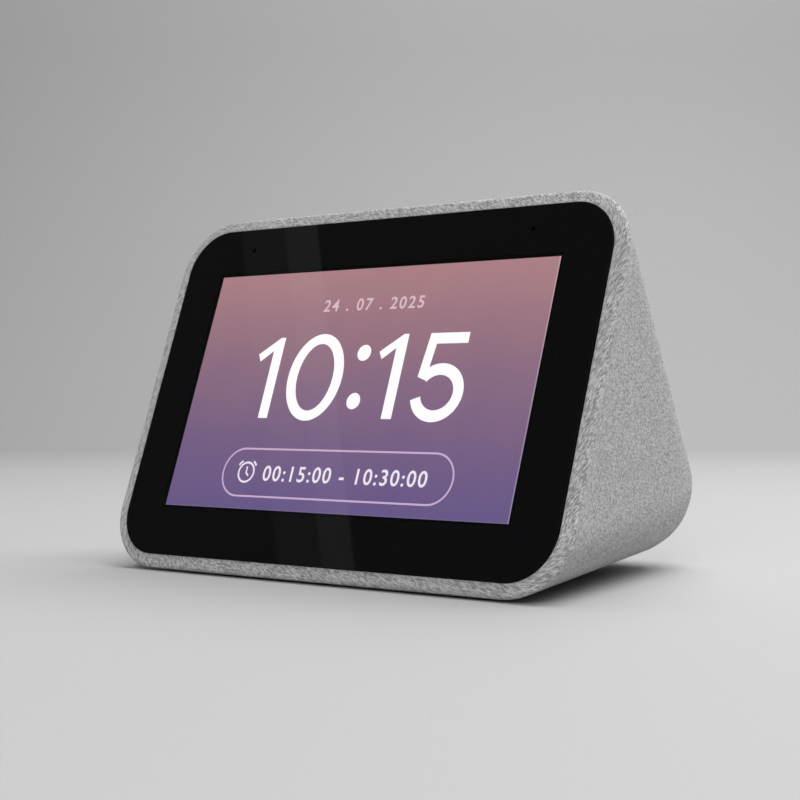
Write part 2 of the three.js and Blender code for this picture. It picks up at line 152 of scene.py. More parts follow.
swept_table()
middle = (0, 0, 0.04)
soft_light("overhead_softbox", (0.1, 0.35, 0.95), middle, 1.1, 12.5)
soft_light("right_softbox", (0.95, -0.25, 0.45), middle, 0.7, 0.6)
soft_light("back_right_softbox", (0.32, 0.3, 0.42), (0.04, 0.01, 0.04), 0.25, 0.4)
soft_light("front_softbox", (0.5, -0.85, 0.6), middle, 0.5, 5.7)
soft_light("back_wall_light", (0.3, 0.2, 1.3), (-0.5, 1.1, 0.4), 0.8, 5.0)
glass_reflector("glass_reflection_bright", 0.0, 0.022, 0.125)
glass_reflector("glass_reflection_soft", 0.022, 0.03, 0.05)
world = bpy.data.worlds.new("studio_air")
world.use_nodes = True
world.node_tree.nodes["Background"].inputs["Color"].default_value = (0.9, 0.95, 1.0, 1)
world.node_tree.nodes["Background"].inputs["Strength"].default_value = 0.065
bpy.context.scene.world = world


# ---------------------------------------------------------------------------------------------
# Rubber foot: a soft dark pad under the base plate that keeps the hub from sliding. It is moulded
# with a rounded edge and a slight hollow underneath, and it is stuck to the plate.
# ---------------------------------------------------------------------------------------------
class Nodes:
    """Short-hand for wiring one material's nodes."""

    def __init__(self, material):
        self.tree = material.node_tree
        self.shader = self.tree.nodes["Principled BSDF"]
        self.place = self.add("ShaderNodeTexCoord").outputs["Object"]

    def add(self, kind, **settings):
        node = self.tree.nodes.new(kind)
        for key, value in settings.items():
            setattr(node, key, value)
        return node

    def link(self, source, target):
        self.tree.links.new(source, target)

    def scaled(self, scale):
        mapping = self.add("ShaderNodeMapping")
        mapping.inputs["Scale"].default_value = scale
        self.link(self.place, mapping.inputs["Vector"])
        return mapping.outputs["Vector"]

    def noise(self, scale, detail=2.0, vector=None, roughness=0.5):
        node = self.add("ShaderNodeTexNoise")
        node.inputs["Scale"].default_value = scale
        node.inputs["Detail"].default_value = detail
        node.inputs["Roughness"].default_value = roughness
        self.link(vector or self.place, node.inputs["Vector"])
        return node.outputs["Fac"]

    def ramp(self, source, stops):
        node = self.add("ShaderNodeValToRGB")
        elements = node.color_ramp.elements
        while len(elements) < len(stops):
            elements.new(0.5)
        for element, (position, color) in zip(elements, stops):
            element.position = position
            element.color = (*color, 1)
        self.link(source, node.inputs["Fac"])
        return node.outputs["Color"]

    def between(self, source, low, high):
        node = self.add("ShaderNodeMapRange")
        node.inputs["To Min"].default_value = low
        node.inputs["To Max"].default_value = high
        self.link(source, node.inputs["Value"])
        return node.outputs["Result"]

    def math(self, operation, first, second=None, third=None):
        node = self.add("ShaderNodeMath", operation=operation)
        for socket, value in zip(node.inputs, (first, second, third)):
            if value is None:
                continue
            if isinstance(value, (int, float)):
                socket.default_value = value
            else:
                self.link(value, socket)
        return node.outputs["Value"]

    def bump(self, height, distance, strength=1.0):
        node = self.add("ShaderNodeBump")
        node.inputs["Distance"].default_value = distance
        node.inputs["Strength"].default_value = strength
        self.link(height, node.inputs["Height"])
        self.link(node.outputs["Normal"], self.shader.inputs["Normal"])

    def colour(self, source, stops):
        self.link(self.ramp(source, stops), self.shader.inputs["Base Color"])


def moulded(name, color, roughness=0.55, grain=9000.0, depth=0.02 * MM):
    """Injection-moulded plastic or rubber: a fine spark texture and a slightly uneven sheen."""
    material, shader = new_material(name, color, roughness)
    n = Nodes(material)
    fine = n.noise(grain, 3.0)
    cloudy = n.noise(140.0, 3.0)
    darker = tuple(c * 0.86 for c in color)
    lighter = tuple(min(c * 1.12, 1.0) for c in color)
    n.colour(cloudy, [(0.3, darker), (0.7, lighter)])
    n.link(n.between(fine, roughness - 0.08, roughness + 0.1), shader.inputs["Roughness"])
    n.bump(fine, depth)
    return material


def new_piece(name, bm, material, body="hub_body", replaces=(), sharp=35):
    mesh = bpy.data.meshes.new(name)
    bmesh.ops.recalc_face_normals(bm, faces=bm.faces)
    bm.to_mesh(mesh)
    bm.free()
    for polygon in mesh.polygons:
        polygon.use_smooth = True
    mesh.set_sharp_from_angle(angle=math.radians(sharp))
    for finish in material if isinstance(material, list) else [material]:
        mesh.materials.append(finish)
    made = bpy.data.objects.new(name, mesh)
    bpy.context.scene.collection.objects.link(made)
    if replaces:
        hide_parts(*replaces)
    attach(made, body)
    return made


def rounded_rectangle(width, height, corner, steps=8, middle=(0, 0)):
    """Points of a rounded rectangle, anticlockwise, with the same count at any size."""
    points = []
    for quarter, (sx, sy) in enumerate([(1, -1), (1, 1), (-1, 1), (-1, -1)]):
        cx = middle[0] + sx * (width / 2 - corner)
        cy = middle[1] + sy * (height / 2 - corner)
        for step in range(steps + 1):
            angle = math.pi / 2 * (quarter - 1 + step / steps)
            points.append((cx + corner * math.cos(angle), cy + corner * math.sin(angle)))
    return points


def ring_solid(rings, placed=Matrix.Identity(4), bm=None):
    """A closed solid through rings of as many points each, capped at both ends."""
    bm = bm or bmesh.new()
    loops = [[bm.verts.new(placed @ Vector(point)) for point in ring] for ring in rings]
    count = len(loops[0])
    for below, above in zip(loops, loops[1:]):
        for i in range(count):
            bm.faces.new((below[i], below[(i + 1) % count], above[(i + 1) % count], above[i]))
    bm.faces.new(list(reversed(loops[0])))
    bm.faces.new(loops[-1])
    return bm


def inset_rings(outline, profile):
    """Rings for ring_solid from outline(inset) and a profile of (inset, height)."""
    return [[(x, y, height) for x, y in outline(inset)] for inset, height in profile]


def level_rings(outline, *heights):
    """Rings for ring_solid that repeat one outline at each height."""
    return [[(x, y, height) for x, y in outline] for height in heights]


BASE_CORNER = 9 * MM
foot_low, foot_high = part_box("rubber_foot")
plate_low, plate_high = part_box("base_plate")


def base_outline(inset, low, high, narrow=7 * MM, steps=10):
    """The base's outline: a trapezoid, narrower at the back, with round corners."""
    corner = BASE_CORNER - inset
    edge = BASE_CORNER
    lean = math.degrees(math.atan2(narrow, high.y - low.y - 2 * edge))
    places = [
        (high.x - edge, low.y + edge, -90, lean),
        (high.x - edge - narrow, high.y - edge, lean, 90),
        (low.x + edge + narrow, high.y - edge, 90, 180 - lean),
        (low.x + edge, low.y + edge, 180 - lean, 270),
    ]
    points = []
    for x, y, start, end in places:
        for step in range(steps + 1):
            angle = math.radians(start + (end - start) * step / steps)
            points.append((x + corner * math.cos(angle), y + corner * math.sin(angle)))
    return points


def rubber_foot():
    thick = foot_high.z - foot_low.z
    profile = [(2.2 * MM, 0.16 * MM), (2.0 * MM, 0), (0.6 * MM, 0), (0.25 * MM, 0.06 * MM),
               (0.05 * MM, 0.2 * MM), (0, 0.4 * MM), (0, thick - 0.05 * MM), (0.05 * MM, thick)]
    inside_plate = 1.6 * MM

    def outline(inset):
        return base_outline(inset + inside_plate, plate_low, plate_high)

    bm = ring_solid(inset_rings(outline, [(i, foot_low.z + z) for i, z in profile]))
    rubber = moulded("foot_rubber", (0.045, 0.046, 0.048), 0.8, 5000.0, 0.04 * MM)
    new_piece("rubber_foot_pad", bm, rubber, replaces=("rubber_foot",))


rubber_foot()


# ---------------------------------------------------------------------------------------------
# Base plate and its four screws: a grey moulded plate that closes the bottom of the shell. The
# screws sit in counterbores under the foot.
# ---------------------------------------------------------------------------------------------
def pressed_steel(name, color=(0.58, 0.59, 0.6), roughness=0.34):
    """Nickel-plated sheet steel with faint rolling lines."""
    material, shader = new_material(name, color, roughness, 1.0)
    n = Nodes(material)
    lines = n.noise(1.0, 4.0, n.scaled((9000, 300, 9000)))
    n.link(n.between(lines, roughness - 0.1, roughness + 0.12), shader.inputs["Roughness"])
    n.colour(n.noise(220.0), [(0.3, tuple(c * 0.85 for c in color)), (0.7, color)])
    n.bump(lines, 0.004 * MM)
    return material


def finish_nodes(material, *names):
    """Gives CAD pieces whose shape is already right their real finish."""
    for name in names:
        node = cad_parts[name]
        node.data.materials.clear()
        node.data.materials.append(material)


grey_plastic = moulded("grey_moulded_plastic", (0.2, 0.205, 0.215), 0.5)
steel = pressed_steel("nickel_plated_steel")
finish_nodes(grey_plastic, "base_plate")
finish_nodes(steel, *[f"base_screw_{i}" for i in range(1, 5)])


# ---------------------------------------------------------------------------------------------
# Body shell and front frame: black moulded housings. The shell carries the screw bosses and the
# sound slots; the frame drops into its front and holds the display and the glass.
# ---------------------------------------------------------------------------------------------
black_plastic = moulded("black_moulded_plastic", (0.016, 0.016, 0.018), 0.5)
finish_nodes(black_plastic, "body_shell", "front_frame", "speaker_box", "speaker_baffle")


# ---------------------------------------------------------------------------------------------
# Circuit boards: green-masked glass-epoxy boards with faint tracks under the mask. They carry
# the chips, the shield and the wireless module, and are held by small screws.
# ---------------------------------------------------------------------------------------------
def board_finish():
    material, shader = new_material("green_circuit_board", (0.012, 0.085, 0.04), 0.35)
    n = Nodes(material)
    tracks = n.add("ShaderNodeTexBrick")
    tracks.inputs["Scale"].default_value = 260.0
    tracks.inputs["Mortar Size"].default_value = 0.06
    tracks.inputs["Color1"].default_value = (0.012, 0.085, 0.04, 1)
    tracks.inputs["Color2"].default_value = (0.016, 0.11, 0.05, 1)
    tracks.inputs["Mortar"].default_value = (0.03, 0.19, 0.09, 1)
    n.link(n.place, tracks.inputs["Vector"])
    n.link(tracks.outputs["Color"], shader.inputs["Base Color"])
    n.bump(tracks.outputs["Fac"], 0.01 * MM)
    return material


finish_nodes(board_finish(), "main_board", "io_board", "key_board", "mic_board_left", "mic_board_right")
finish_nodes(moulded("chip_epoxy", (0.012, 0.012, 0.013), 0.4, 15000.0), "processor_chip", "memory_chip",
             "amplifier_chip")
finish_nodes(steel, "processor_shield", "wifi_module", "display_tray", "mute_switch",
             "dome_switch_up", "dome_switch_down", *[f"board_screw_{i}" for i in range(1, 5)])
aluminium = pressed_steel("rolled_aluminium", (0.72, 0.73, 0.74), 0.42)
finish_nodes(aluminium, "heat_spreader", "passive_radiator_left", "passive_radiator_right")


# ---------------------------------------------------------------------------------------------
# Flexible circuits, leads and seals: amber film ribbons, a black rubber-covered speaker lead, a
# white board-to-board cable, foam seals round the microphones and the glass.
# ---------------------------------------------------------------------------------------------
def film_finish():
    material, _ = new_material("amber_polyimide", (0.42, 0.17, 0.03), 0.28)
    n = Nodes(material)
    strands = n.noise(1.0, 1.0, n.scaled((3500, 400, 400)))
    n.colour(strands, [(0.45, (0.42, 0.17, 0.03)), (0.55, (0.55, 0.26, 0.07))])
    n.bump(strands, 0.01 * MM)
    return material


finish_nodes(film_finish(), "display_flex", "key_ribbon", "antenna_left", "antenna_right")
finish_nodes(moulded("black_foam", (0.012, 0.012, 0.012), 0.95, 4000.0, 0.08 * MM), "glass_adhesive",
             "mic_gasket_left", "mic_gasket_right", "speaker_gasket")
finish_nodes(moulded("lead_rubber", (0.015, 0.015, 0.015), 0.6), "speaker_lead", "speaker_surround",
             "passive_surround_left", "passive_surround_right")
white_plastic = moulded("white_moulded_plastic", (0.62, 0.63, 0.64), 0.42)
finish_nodes(white_plastic, "io_cable", "backlight_unit")


# ---------------------------------------------------------------------------------------------
# Speaker: a pressed steel basket and magnet pot, a black paper cone with its dust cap, and an
# enamelled copper voice coil that moves with the cone.
# ---------------------------------------------------------------------------------------------
def paper_finish():
    material, _ = new_material("black_cone_paper", (0.02, 0.02, 0.02), 0.85)
    n = Nodes(material)
    fibres = n.noise(2600.0, 5.0, roughness=0.7)
    n.colour(fibres, [(0.35, (0.012, 0.012, 0.012)), (0.7, (0.045, 0.044, 0.042))])
    n.bump(fibres, 0.05 * MM)
    return material


def winding_finish():
    material, _ = new_material("copper_winding", (0.55, 0.22, 0.1), 0.3, 1.0)
    n = Nodes(material)
    turns = n.add("ShaderNodeTexWave", bands_direction="Y")
    turns.inputs["Scale"].default_value = 900.0
    n.link(n.place, turns.inputs["Vector"])
    # Painted shade: the colour follows the turns' height, darker in the grooves between the turns.
    n.colour(turns.outputs["Fac"], [(0.1, (0.25, 0.08, 0.03)), (0.6, (0.6, 0.26, 0.12))])
    n.bump(turns.outputs["Fac"], 0.05 * MM)
    return material


finish_nodes(steel, "speaker_basket", "speaker_magnet")
finish_nodes(paper_finish(), "speaker_cone", "dust_cap")
finish_nodes(winding_finish(), "voice_coil")


# ---------------------------------------------------------------------------------------------
# Display: a 4-inch colour panel with the touch film bonded to it. It shows a dusk gradient, the
# time in large numerals, a date line, and a rounded button with a small alarm clock.
# ---------------------------------------------------------------------------------------------
PICTURE = (86.3 * MM, 51.5 * MM)
PICTURE_DEPTH = -0.17 * MM


def glow(name, color, strength=1.0):
    material, shader = new_material(name, (0, 0, 0), 0.4)
    shader.inputs["Emission Color"].default_value = (*color, 1)
    shader.inputs["Emission Strength"].default_value = strength
    return material


def from_screen(red, green, blue):
    """A colour as the screen's controller has it, 0 to 255, as light."""
    return tuple(((c / 255 + 0.055) / 1.055) ** 2.4 for c in (red, green, blue))


def dusk_finish():
    material, shader = new_material("dusk_gradient", (0, 0, 0), 0.4)
    n = Nodes(material)
    up = n.add("ShaderNodeAttribute", attribute_name="screen_height").outputs["Fac"]
    soft = n.noise(90.0, 1.0)
    level = n.math("ADD", up, n.math("MULTIPLY", n.math("SUBTRACT", soft, 0.5), 0.12))
    sky = n.ramp(level, [
        (0.0, from_screen(104, 88, 138)),
        (0.3, from_screen(122, 98, 135)),
        (0.62, from_screen(146, 112, 132)),
        (1.0, from_screen(176, 131, 136)),
    ])
    across = n.add("ShaderNodeAttribute", attribute_name="screen_across").outputs["Fac"]
    right_edge = n.math("GREATER_THAN", across, 1 - 0.25 * MM / PICTURE[0])
    bottom_edge = n.math("LESS_THAN", up, 0.2 * MM / PICTURE[1])
    lit_edge = n.math("MULTIPLY_ADD", right_edge, 0.16, n.math("MULTIPLY", bottom_edge, 0.035))
    brighter = n.add("ShaderNodeVectorMath", operation="ADD")
    n.link(sky, brighter.inputs[0])
    n.link(lit_edge, brighter.inputs[1])
    n.link(brighter.outputs["Vector"], shader.inputs["Emission Color"])
    shader.inputs["Emission Strength"].default_value = 1.0
    return material


def lcd_module():
    """The panel's block, with the lit picture as a grid on its front."""
    bm = bmesh.new()
    columns, rows = 24, 16
    grid = {}
    for i in range(columns + 1):
        for j in range(rows + 1):
            x = PICTURE[0] * (i / columns - 0.5)
            y = PICTURE[1] * (j / rows - 0.5)
            grid[i, j] = bm.verts.new((x, y, 0))
    for i in range(columns):
        for j in range(rows):
            bm.faces.new((grid[i, j], grid[i + 1, j], grid[i + 1, j + 1], grid[i, j + 1]))
    back = 2.6 * MM
    shoulder = 0.8 * MM
    tray_size = (91.4 * MM, 56.6 * MM)
    tray_drop = 0.6 * MM

    def tray(width, height, middle, *levels):
        return level_rings(rounded_rectangle(width, height, 0.02 * MM, 4, (0, middle)), *levels)

    block = tray(*tray_size, -tray_drop, -back, -shoulder)
    block += tray(*PICTURE, 0, -shoulder, -0.01 * MM)
    first = len(bm.faces)
    ring_solid(block, bm=bm)
    bm.faces.ensure_lookup_table()
    for face_made in bm.faces[first:]:
        face_made.material_index = 1
    height = bm.verts.layers.float.new("screen_height")
    across = bm.verts.layers.float.new("screen_across")
    for vert in bm.verts:
        vert[height] = vert.co.y / PICTURE[1] + 0.5
        vert[across] = vert.co.x / PICTURE[0] + 0.5
    bm.transform(display @ Matrix.Translation((0, 0, PICTURE_DEPTH)))
    new_piece("lcd_panel_lit", bm, [dusk_finish(), black_plastic],
              replaces=("lcd_panel", "touch_sensor"))


def stroke(bm, points, width, closed=False):
    """A flat stroke of even width along 2-D points, in the display's plane."""
    count = len(points)
    left, right = [], []
    for i, (x, y) in enumerate(points):
        before = points[(i - 1) % count] if closed or i else points[i]
        after = points[(i + 1) % count] if closed or i < count - 1 else points[i]
        tangent_in = Vector((x - before[0], y - before[1]))
        tangent_out = Vector((after[0] - x, after[1] - y))
        direction = (tangent_in.normalized() + tangent_out.normalized()).normalized()
        normal = Vector((-direction.y, direction.x))
        side = tangent_out if tangent_out.length else tangent_in
        stretch = 1 / max(abs(normal.dot(Vector((-side.y, side.x)).normalized())), 0.5)
        offset = normal * width / 2 * stretch
        left.append(bm.verts.new((x + offset.x, y + offset.y, 0)))
        right.append(bm.verts.new((x - offset.x, y - offset.y, 0)))
    for i in range(count if closed else count - 1):
        j = (i + 1) % count
        bm.faces.new((right[i], right[j], left[j], left[i]))


def arc(middle, radius_x, radius_y, start, end, steps):
    turns = [math.radians(start + (end - start) * i / steps) for i in range(steps + 1)]
    return [(middle[0] + radius_x * math.cos(t), middle[1] + radius_y * math.sin(t)) for t in turns]


def circle(middle, radius, steps):
    return arc(middle, radius, radius, 0, 360, steps)[:-1]


def millimetres(points):
    return [(x * MM, y * MM) for x, y in points]


def flat_shape(bm, points):
    """One face in the display's plane, its points in millimetres."""
    bm.faces.new([bm.verts.new((x, y, 0)) for x, y in millimetres(points)])


NUMERAL_TOP = 11.2
NUMERAL_FOOT = -6.36


def one(bm, left):
    """The numeral one: an upright with a slanting flag."""
    right = left + 2.5
    upright_ends = [(left, NUMERAL_FOOT), (right, NUMERAL_FOOT), (right, NUMERAL_TOP)]
    flag = [(left + 1.3, NUMERAL_TOP), (left - 4.0, 7.6), (left - 3.1, 6.0), (left, 8.3)]
    flat_shape(bm, upright_ends + flag)


def zero(bm, middle):
    """The numeral nought: an upright oval, a little thinner at top and bottom."""
    steps = 64
    outer = millimetres(arc(middle, 7.2, 9.3, 0, 360, steps)[:-1])
    inner = millimetres(arc(middle, 4.7, 7.15, 0, 360, steps)[:-1])
    rims = [[bm.verts.new((x, y, 0)) for x, y in ring] for ring in (outer, inner)]
    for i in range(steps):
        j = (i + 1) % steps
        bm.faces.new((rims[0][i], rims[0][j], rims[1][j], rims[1][i]))


def five(bm):
    """The numeral five: a flag, a short leaning stem and a round bowl."""
    flag_foot = 8.98
    flat_shape(bm, [(16.7, NUMERAL_TOP), (15.6, 2.2), (17.6, 1.5), (18.55, flag_foot), (25.86, flag_foot),
                    (25.86, NUMERAL_TOP)])
    bowl = arc((20.95, -0.98), 4.95, 4.75, 141, -166, 40)
    stroke(bm, millimetres(bowl), 2.35 * MM)


# Everything drawn on the picture lies a hundredth of a millimetre in front of it.
on_screen = display @ Matrix.Translation((0.25 * MM, -0.05 * MM, PICTURE_DEPTH + 0.01 * MM))


def screen_numerals():
    bm = bmesh.new()
    one(bm, -23.29)
    zero(bm, (-10.43, 2.43))
    for height in (7.43, -2.7):
        flat_shape(bm, circle((1.04, height), 1.7, 32))
    one(bm, 8.86)
    five(bm)
    bm.transform(on_screen)
    numeral_light = glow("numeral_light", from_screen(255, 252, 254), 1.1)
    new_piece("screen_clock_numerals", bm, numeral_light)


def screen_text(name, words, size, spacing, middle, material):
    curve = bpy.data.curves.new(name, "FONT")
    curve.body = words
    curve.size = size
    curve.space_character = spacing
    curve.offset = 0.06 * MM
    curve.align_x = "CENTER"
    curve.align_y = "BOTTOM_BASELINE"
    text = bpy.data.objects.new(name, curve)
    bpy.context.scene.collection.objects.link(text)
    bpy.context.view_layer.update()
    mesh = bpy.data.meshes.new_from_object(text.evaluated_get(bpy.context.evaluated_depsgraph_get()))
    bpy.data.objects.remove(text)
    bm = bmesh.new()
    bm.from_mesh(mesh)
    bpy.data.meshes.remove(mesh)
    bm.transform(on_screen @ Matrix.Translation((*middle, 0)))
    new_piece(name, bm, material)


def alarm_button():
    """The rounded button's outline and the small alarm clock in it."""
    bm = bmesh.new()
    outline = rounded_rectangle(58.1 * MM, 10.0 * MM, 4.99 * MM, 16, (-0.1 * MM, -18.0 * MM))
    stroke(bm, outline, 0.38 * MM, closed=True)
    bm.transform(on_screen)
    new_piece("screen_button_outline", bm, glow("button_light", from_screen(208, 178, 214)))
    bm = bmesh.new()
    clock = (-22.8, -18.0)
    stroke(bm, millimetres(circle(clock, 2.05, 40)), 0.42 * MM, closed=True)
    for side in (-1, 1):
        ear = arc(clock, 2.75, 2.75, 90 - side * 32, 90 - side * 58, 6)
        stroke(bm, millimetres(ear), 0.42 * MM)
    hands = [(clock[0], clock[1] + 1.2), (clock[0], clock[1] - 0.1), (clock[0] + 0.75, clock[1] - 0.75)]
    stroke(bm, millimetres(hands), 0.38 * MM)
    bm.transform(on_screen)
    new_piece("screen_alarm_clock", bm, time_light)


lcd_module()
screen_numerals()
date_light = glow("date_light", from_screen(226, 196, 202))
time_light = glow("time_light", from_screen(246, 236, 250))
screen_text("screen_date_line", "24 . 07 . 2025", 3.6 * MM, 1.25, (0.5 * MM, 16.7 * MM), date_light)
screen_text("screen_alarm_times", "00:15:00 - 10:30:00", 4.45 * MM, 1.17, (2.5 * MM, -19.6 * MM), time_light)
alarm_button()


# ---------------------------------------------------------------------------------------------
# Cover glass: one sheet of toughened glass with a black border printed behind it and a clear
# window over the picture. Its front edge is softly rounded, and two pinholes let sound in.
# ---------------------------------------------------------------------------------------------
GLASS_SIZE = (107.7 * MM, 73.0 * MM, 9.55 * MM)  # width, height, corner radius
WINDOW = (86.4 * MM, 51.6 * MM)
PINHOLE = (35.8 * MM, 31.5 * MM, 0.45 * MM)  # across, up, radius


def cut_away(piece, cutter, solver="EXACT"):
    """Cuts one closed form, given as a bmesh, out of a piece."""
    mesh = bpy.data.meshes.new("cutter")
    bmesh.ops.recalc_face_normals(cutter, faces=cutter.faces)
    cutter.to_mesh(mesh)
    cutter.free()
    tool = bpy.data.objects.new("cutter", mesh)
    bpy.context.scene.collection.objects.link(tool)
    cut = piece.modifiers.new("cut", "BOOLEAN")
    cut.operation = "DIFFERENCE"
    cut.solver = solver
    cut.object = tool
    shaped = bpy.data.meshes.new_from_object(piece.evaluated_get(bpy.context.evaluated_depsgraph_get()))
    piece.modifiers.remove(cut)
    old = piece.data
    shaped.name = old.name
    piece.data = shaped
    bpy.data.meshes.remove(old)
    bpy.data.objects.remove(tool)
    bpy.data.meshes.remove(mesh)


def black_glass():
    material, shader = new_material("black_backed_glass", (0.0025, 0.0025, 0.0028), 0.06)
    shader.inputs["IOR"].default_value = 1.5
    n = Nodes(material)
    smears = n.noise(60.0, 4.0)
    n.link(n.between(smears, 0.012, 0.03), shader.inputs["Roughness"])
    return material


def clear_glass():
    material, shader = new_material("clear_window_glass", (1, 1, 1), 0.01)
    shader.inputs["Transmission Weight"].default_value = 1.0
    shader.inputs["IOR"].default_value = 1.5
    return material


def cover_glass():
    width, height, corner = GLASS_SIZE
    half = GLASS_THICK / 2
    edge = 0.12 * MM
    pocket = half - PICTURE_UNDER_FRONT + PICTURE_DEPTH + 0.02 * MM

    def outline(inset):
        return rounded_rectangle(width - 2 * inset, height - 2 * inset, corner - inset, 16)

    def window(level, grown=0.0):
        points = rounded_rectangle(WINDOW[0] + grown, WINDOW[1] + grown, 0.02 * MM, 16, (0, -PICTURE_DROP))
        return [(x, y, level) for x, y in points]

    rim = [(0.15 * MM, -half), (0, -half + 0.15 * MM)]
    for step in range(5):
        turn = math.pi / 2 * step / 4
        rim.append((edge * (1 - math.cos(turn)), half - edge * (1 - math.sin(turn))))
    rings = [window(pocket), window(-half)] + inset_rings(outline, rim) + [window(half, 1.2 * MM)]
    bm = ring_solid(rings, face)
    bm.faces.ensure_lookup_table()
    around = len(rings[0])
    for pane in bm.faces[-2:]:
        pane.material_index = 1
    for printed in bm.faces[:2 * around]:
        printed.material_index = 2
    for ground in bm.faces[2 * around:-around - 2]:
        ground.material_index = 3
    border_print = moulded("black_border_print", (0.001, 0.001, 0.001), 0.9)
    ground_edge = moulded("ground_glass_edge", (0.002, 0.002, 0.002), 0.6)
    for matt in (border_print, ground_edge):
        matt.node_tree.nodes["Principled BSDF"].inputs["Specular IOR Level"].default_value = 0.1
    finishes = [black_glass(), clear_glass(), border_print, ground_edge]
    sheet = new_piece("cover_glass_sheet", bm, finishes, replaces=("cover_glass",), sharp=8)
    for side in (-1, 1):
        hole = circle((side * PINHOLE[0], PINHOLE[1]), PINHOLE[2], 16)
        cut_away(sheet, ring_solid(level_rings(hole, -GLASS_THICK, GLASS_THICK), face))


cover_glass()


# ---------------------------------------------------------------------------------------------
# Knitted cover: a light grey melange jersey, stretched over the shell like a sock, rolled in at
# the glass and cut out round the base, the keys and the ports. It is bonded to the shell.
# ---------------------------------------------------------------------------------------------
RIM = (113.48 * MM, 78.45 * MM, 12.8 * MM)  # width, height, corner radius
RIM_MIDDLE = 0.135 * MM
RIM_FRONT = -0.07 * MM
RIM_EDGE = 0.9 * MM
KNIT_THICK = 0.9 * MM
KNIT_TUCK = 1.1 * MM
ROLL = 0.3 * MM
SWELL = 0.14 * MM
# Three pairs of balls that the skin is drawn over, each a place beside the display and a radius.
CROWN = ((18 * MM, 36 * MM, 20 * MM), 19.6 * MM)
WAIST = ((18 * MM, 35.5 * MM, 4 * MM), 25 * MM)
HEEL = ((30.56 * MM, 51.7 * MM, -19.96 * MM), 15 * MM)
upright = Matrix.Translation(display_middle)


def even_outline(inset, count):
    """The rim's outline with its points spread evenly, from the left end of its straight bottom."""
    width, height, corner = RIM
    ring = rounded_rectangle(width - 2 * inset, height - 2 * inset, corner - inset, 40, (0, RIM_MIDDLE))
    ring = [Vector(point) for point in ring[-1:] + ring]
    steps = [(b - a).length for a, b in zip(ring, ring[1:] + ring[:1])]
    total = sum(steps)
    points, passed, i = [], 0.0, 0
    for k in range(count):
        goal = total * k / count
        while passed + steps[i] < goal:
            passed += steps[i]
            i += 1
        share = (goal - passed) / steps[i]
        points.append(ring[i].lerp(ring[(i + 1) % len(ring)], share))
    return points


def body_form():
    """The taut skin over the rim and three pairs of balls, as a tree to measure against."""
    bm = bmesh.new()
    width, height, corner = RIM
    straight_x = width / 2 - corner
    straight_y = height / 2 - corner
    for x, y in even_outline(RIM_EDGE, 360):
        core_x = max(min(x, straight_x), -straight_x)
        core_y = max(min(y - RIM_MIDDLE, straight_y), -straight_y) + RIM_MIDDLE
        outward = (Vector((x, y)) - Vector((core_x, core_y))).normalized()
        for turn in range(0, 121, 15):
            out = RIM_EDGE * math.sin(math.radians(turn))
            level = RIM_FRONT - RIM_EDGE + RIM_EDGE * math.cos(math.radians(turn))
            bm.verts.new(display @ Vector((x + outward.x * out, y + outward.y * out, level)))
    for (x, y, z), radius in (CROWN, WAIST, HEEL):
        for side in (-1, 1):
            bmesh.ops.create_uvsphere(bm, u_segments=96, v_segments=64, radius=radius,
                                      matrix=upright @ Matrix.Translation((side * x, y, z)))
    bmesh.ops.delete(bm, geom=bm.edges[:], context="EDGES_FACES")
    hull = bmesh.ops.convex_hull(bm, input=bm.verts[:], use_existing_faces=False)
    inner = {v for v in hull["geom_interior"] if isinstance(v, bmesh.types.BMVert)}
    bmesh.ops.delete(bm, geom=list(inner), context="VERTS")
    bmesh.ops.recalc_face_normals(bm, faces=bm.faces)
    tree = BVHTree.FromBMesh(bm)
    bm.free()
    return tree


def knit_rings(count, rows, cap_rows):
    """Rings of outer points from the roll beside the glass, over the rim and back to the pole."""
    tree = body_form()
    rings = []
    tuck = (RIM[0] - GLASS_SIZE[0]) / 2 - 0.08 * MM
    crest = RIM_FRONT + SWELL
    profile = [(tuck, RIM_FRONT - KNIT_TUCK), (tuck, RIM_FRONT - 0.6 * MM)]
    for step in range(6):
        turn = math.pi / 2 * step / 5
        profile.append((tuck - ROLL * (1 - math.cos(turn)), crest - ROLL * (1 - math.sin(turn))))
    profile += [(tuck - ROLL - 0.4 * MM, crest - 0.02 * MM), (tuck - ROLL - 0.8 * MM, RIM_FRONT + SWELL / 3),
                (RIM_EDGE + 0.3 * MM, RIM_FRONT)]
    for step in range(6):
        turn = math.radians(96) * step / 5
        profile.append((RIM_EDGE * (1 - math.sin(turn)), RIM_FRONT - RIM_EDGE * (1 - math.cos(turn))))
    for inset, level in profile:
        rings.append([display @ Vector((p.x, p.y, level)) for p in even_outline(inset, count)])
    core_front = display @ Vector((0, RIM_MIDDLE, -3 * MM))
    core_back = upright @ Vector((0, 42 * MM, -8 * MM))
    backward = Vector((0, 1, 0))
    outline = [display @ Vector((p.x, p.y, RIM_FRONT - 2.2 * MM)) for p in even_outline(0, count)]
    for row in range(1, rows + cap_rows):
        along = min(row / rows, 1.0)
        swing = math.pi / 2 * max(row - rows, 0) / cap_rows
        origin = core_front.lerp(core_back, along ** 0.9)
        ring = []
        for point in outline:
            spoke = point - core_front
            spoke.y *= 1 - along
            spoke.normalize()
            aim = spoke * math.cos(swing) + backward * math.sin(swing)
            ring.append(tree.ray_cast(origin, aim)[0])
        rings.append(ring)
    pole = tree.ray_cast(core_back, backward)[0]
    return rings, pole, len(profile)


